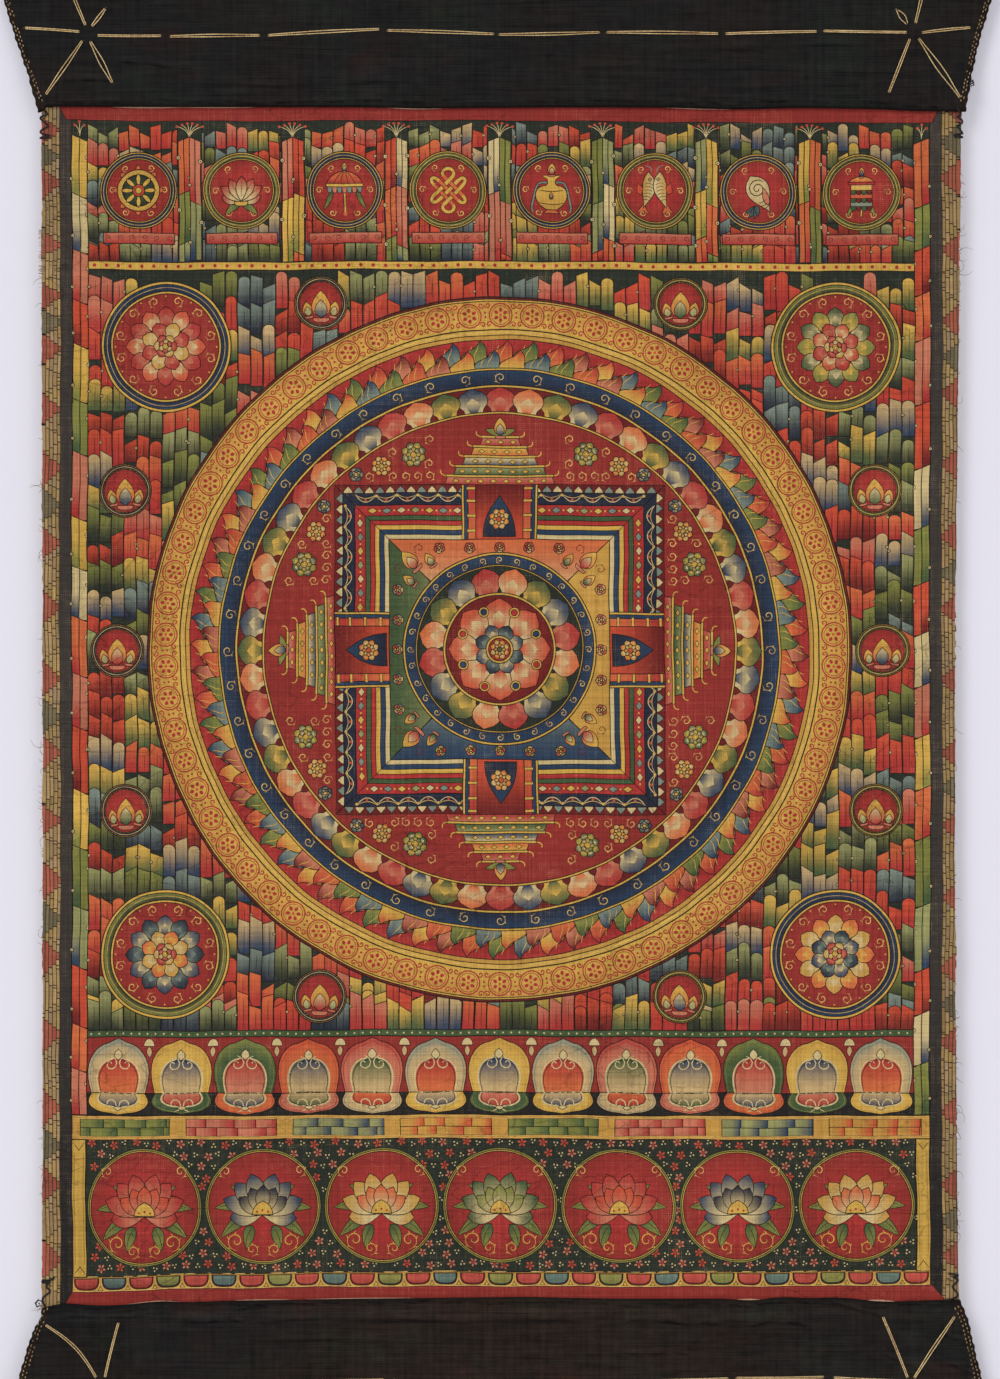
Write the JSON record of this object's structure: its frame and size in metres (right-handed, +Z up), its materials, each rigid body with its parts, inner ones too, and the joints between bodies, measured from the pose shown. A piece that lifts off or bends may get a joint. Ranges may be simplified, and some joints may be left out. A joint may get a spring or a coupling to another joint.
{
  "type": "thangka scroll painting",
  "caption": "Hanging scroll painting: painted cotton cloth with painted borders, sewn between dark flaring mount panels with gold stitched stars.",
  "frame": {"origin": "middle of the top edge, where the scroll is held", "axes": "+Z up, the painted face looks along -Y, +X to the right as seen from the front"},
  "size_m": [0.412, 0.0076, 0.6276],
  "materials": {
    "painted_cotton": "matt mineral paint on primed cotton",
    "mount_cloth": "matt near-black ribbed cotton",
    "gold_thread": "pale gold sewing thread, soft sheen",
    "black_thread": "matt black sewing thread",
    "bare_cotton": "matt unpainted cotton yarn"
  },
  "bodies": {
    "root": {"painted_cloth": "painted_cotton", "top_mount": "mount_cloth", "bottom_mount": "mount_cloth"}
  },
  "joints": []
}
